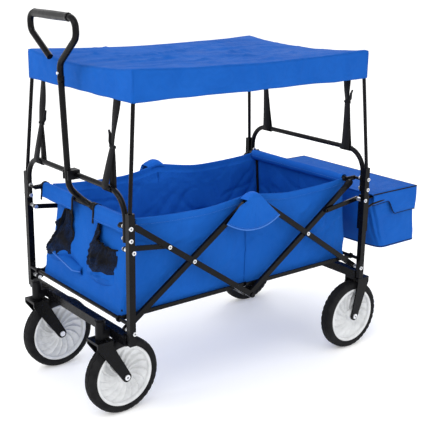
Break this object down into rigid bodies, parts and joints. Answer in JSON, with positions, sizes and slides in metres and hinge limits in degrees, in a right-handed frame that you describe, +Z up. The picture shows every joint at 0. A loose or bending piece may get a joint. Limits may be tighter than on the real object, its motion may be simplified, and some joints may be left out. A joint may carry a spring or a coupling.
{
  "type": "folding pull wagon",
  "caption": "Folding pull wagon: tubular scissor frame, fabric tub under a canopy, swivelling front casters, pull handle, cup pockets and a lidded rear basket.",
  "frame": {"origin": "on the ground, in the middle of the whole wagon's length and width", "axes": "+Z up, -Y towards the front with the pull handle and casters, +Y towards the rear basket, +X to the wagon's left seen from above with the front ahead"},
  "size_m": [0.499, 1.0465, 0.934],
  "materials": {
    "black_steel": "satin black powder coat",
    "black_plastic": "moulded black nylon",
    "zinc": "zinc-plated rivet and bolt",
    "tyre": "solid black tread",
    "hub": "light grey moulded hub",
    "grip": "smooth black foam sleeve",
    "blue_fabric": "coated royal blue polyester",
    "mesh": "black mesh",
    "webbing": "black polypropylene webbing"
  },
  "bodies": {
    "front_frame": {"front_posts": "black_steel", "front_hoop": "black_steel", "front_rail": "black_steel", "front_base_beam": "black_steel", "front_floor_bar": "black_steel", "caster_housings": "black_plastic", "front_frame_bolts": "zinc", "handle_clip": "black_plastic", "front_strap_loops": "webbing", "tub": "blue_fabric", "front_hems": "blue_fabric", "side_flaps": "blue_fabric", "cup_pockets": "mesh"},
    "left_caster": {"left_caster_fork": "black_steel", "front_left_axle": "zinc"},
    "right_caster": {"right_caster_fork": "black_steel", "front_right_axle": "zinc"},
    "front_left_wheel": {"front_left_tyre": "tyre", "front_left_hub": "hub"},
    "front_right_wheel": {"front_right_tyre": "tyre", "front_right_hub": "hub"},
    "rising_braces": {"front_rising_braces": "black_steel", "top_centre_rivets": "zinc"},
    "falling_braces": {"front_falling_braces": "black_steel", "front_brace_rivets": "zinc", "brace_end_caps": "black_plastic"},
    "centre_tube": {"centre_tube": "black_steel"},
    "rear_falling": {"rear_falling_braces": "black_steel"},
    "rear_rising": {"rear_rising_braces": "black_steel", "rear_brace_rivets": "zinc", "rear_brace_caps": "black_plastic"},
    "rear_frame": {"rear_posts": "black_steel", "rear_hoop": "black_steel", "rear_rail": "black_steel", "rear_base_beam": "black_steel", "rear_floor_bar": "black_steel", "rear_forks": "black_steel", "rear_axles": "zinc", "rear_frame_bolts": "zinc", "rear_strap_loops": "webbing", "basket_frame": "black_steel", "basket_bag": "blue_fabric"},
    "rear_left_wheel": {"rear_left_tyre": "tyre", "rear_left_hub": "hub"},
    "rear_right_wheel": {"rear_right_tyre": "tyre", "rear_right_hub": "hub"},
    "front_links": {"front_links": "black_steel"},
    "rear_links": {"rear_links": "black_steel"},
    "front_floor": {"front_floor_rails": "black_steel"},
    "rear_floor": {"rear_floor_rails": "black_steel"},
    "handle": {"handle_tube": "black_steel"},
    "handle_top": {"handle_loop": "black_steel", "handle_grip": "grip"},
    "snap_button": {"snap_button": "zinc"},
    "canopy": {"front_canopy_poles": "black_steel", "canopy": "blue_fabric", "front_straps": "webbing"},
    "rear_poles": {"rear_canopy_poles": "black_steel", "rear_straps": "webbing"},
    "basket_lid": {"basket_lid": "blue_fabric"}
  },
  "joints": [
    {"name": "fold", "type": "hinge", "parent": "front_frame", "child": "rising_braces", "pos_m": [0, -0.45, 0.236], "axis": [1, 0, 0], "range_deg": [0, 40.5], "deforming": ["tub", "side_flaps", "canopy"]},
    {"name": "falling_brace_pivot", "type": "hinge", "parent": "rising_braces", "child": "falling_braces", "pos_m": [0, -0.265, 0.364], "axis": [1, 0, 0], "range_deg": [-81, 0]},
    {"name": "centre_tube_pivot", "type": "hinge", "parent": "falling_braces", "child": "centre_tube", "pos_m": [0, -0.08, 0.236], "axis": [1, 0, 0], "range_deg": [0, 40.5]},
    {"name": "top_centre_pivot", "type": "hinge", "parent": "rising_braces", "child": "rear_falling", "pos_m": [0, -0.08, 0.492], "axis": [1, 0, 0], "range_deg": [-81, 0]},
    {"name": "rear_rising_pivot", "type": "hinge", "parent": "rear_falling", "child": "rear_rising", "pos_m": [0, 0.105, 0.364], "axis": [1, 0, 0], "range_deg": [0, 81]},
    {"name": "rear_frame_pivot", "type": "hinge", "parent": "rear_falling", "child": "rear_frame", "pos_m": [0, 0.29, 0.236], "axis": [1, 0, 0], "range_deg": [0, 40.5]},
    {"name": "front_link_pivot", "type": "hinge", "parent": "front_frame", "child": "front_links", "pos_m": [0, -0.45, 0.428], "axis": [1, 0, 0], "range_deg": [0, 79.5]},
    {"name": "rear_link_pivot", "type": "hinge", "parent": "rear_frame", "child": "rear_links", "pos_m": [0, 0.29, 0.428], "axis": [1, 0, 0], "range_deg": [-79.5, 0]},
    {"name": "front_floor_pivot", "type": "hinge", "parent": "front_frame", "child": "front_floor", "pos_m": [0, -0.4575, 0.258], "axis": [1, 0, 0], "range_deg": [0, 71.1]},
    {"name": "rear_floor_pivot", "type": "hinge", "parent": "rear_frame", "child": "rear_floor", "pos_m": [0, 0.2975, 0.258], "axis": [1, 0, 0], "range_deg": [-71.1, 0]},
    {"name": "left_caster_swivel", "type": "hinge", "parent": "front_frame", "child": "left_caster", "pos_m": [0.156, -0.485, 0.2], "axis": [0, 0, 1], "continuous": true},
    {"name": "right_caster_swivel", "type": "hinge", "parent": "front_frame", "child": "right_caster", "pos_m": [-0.156, -0.485, 0.2], "axis": [0, 0, 1], "continuous": true},
    {"name": "front_left_wheel_spin", "type": "hinge", "parent": "left_caster", "child": "front_left_wheel", "pos_m": [0.156, -0.429, 0.0955], "axis": [1, 0, 0], "continuous": true},
    {"name": "front_right_wheel_spin", "type": "hinge", "parent": "right_caster", "child": "front_right_wheel", "pos_m": [-0.156, -0.429, 0.0955], "axis": [1, 0, 0], "continuous": true},
    {"name": "rear_left_wheel_spin", "type": "hinge", "parent": "rear_frame", "child": "rear_left_wheel", "pos_m": [0.22, 0.28, 0.0955], "axis": [1, 0, 0], "continuous": true},
    {"name": "rear_right_wheel_spin", "type": "hinge", "parent": "rear_frame", "child": "rear_right_wheel", "pos_m": [-0.22, 0.28, 0.0955], "axis": [1, 0, 0], "continuous": true},
    {"name": "handle_swing", "type": "hinge", "parent": "front_frame", "child": "handle", "pos_m": [0, -0.425, 0.482], "axis": [1, 0, 0], "range_deg": [0, 110]},
    {"name": "handle_extend", "type": "slide", "parent": "handle", "child": "handle_top", "axis": [0, -0.0436, 0.999], "range_m": [0, 0.12]},
    {"name": "button_press", "type": "slide", "parent": "handle_top", "child": "snap_button", "axis": [0, 0.999, 0.0436], "range_m": [0, 0.003], "stiffness_N_per_m": 600, "springref_m": -0.001},
    {"name": "canopy_lift", "type": "slide", "parent": "front_frame", "child": "canopy", "axis": [0, 0, 1], "range_m": [0, 0.12]},
    {"name": "rear_pole_lift", "type": "slide", "parent": "rear_frame", "child": "rear_poles", "axis": [0, 0, 1], "range_m": [0, 0.12]},
    {"name": "lid_hinge", "type": "hinge", "parent": "rear_frame", "child": "basket_lid", "pos_m": [0, 0.342, 0.434], "axis": [1, 0, 0], "range_deg": [0, 95]}
  ],
  "couplings": [
    {"joint": "falling_brace_pivot", "follows": "fold", "ratio": -2},
    {"joint": "centre_tube_pivot", "follows": "fold", "ratio": 1},
    {"joint": "top_centre_pivot", "follows": "fold", "ratio": -2},
    {"joint": "rear_rising_pivot", "follows": "fold", "ratio": 2},
    {"joint": "rear_frame_pivot", "follows": "fold", "ratio": 1},
    {"joint": "front_link_pivot", "follows": "fold", "ratio": 1.9607},
    {"joint": "rear_link_pivot", "follows": "fold", "ratio": -1.9607},
    {"joint": "front_floor_pivot", "follows": "fold", "ratio": 1.7543},
    {"joint": "rear_floor_pivot", "follows": "fold", "ratio": -1.7543},
    {"joint": "rear_pole_lift", "follows": "canopy_lift", "ratio": 1}
  ]
}
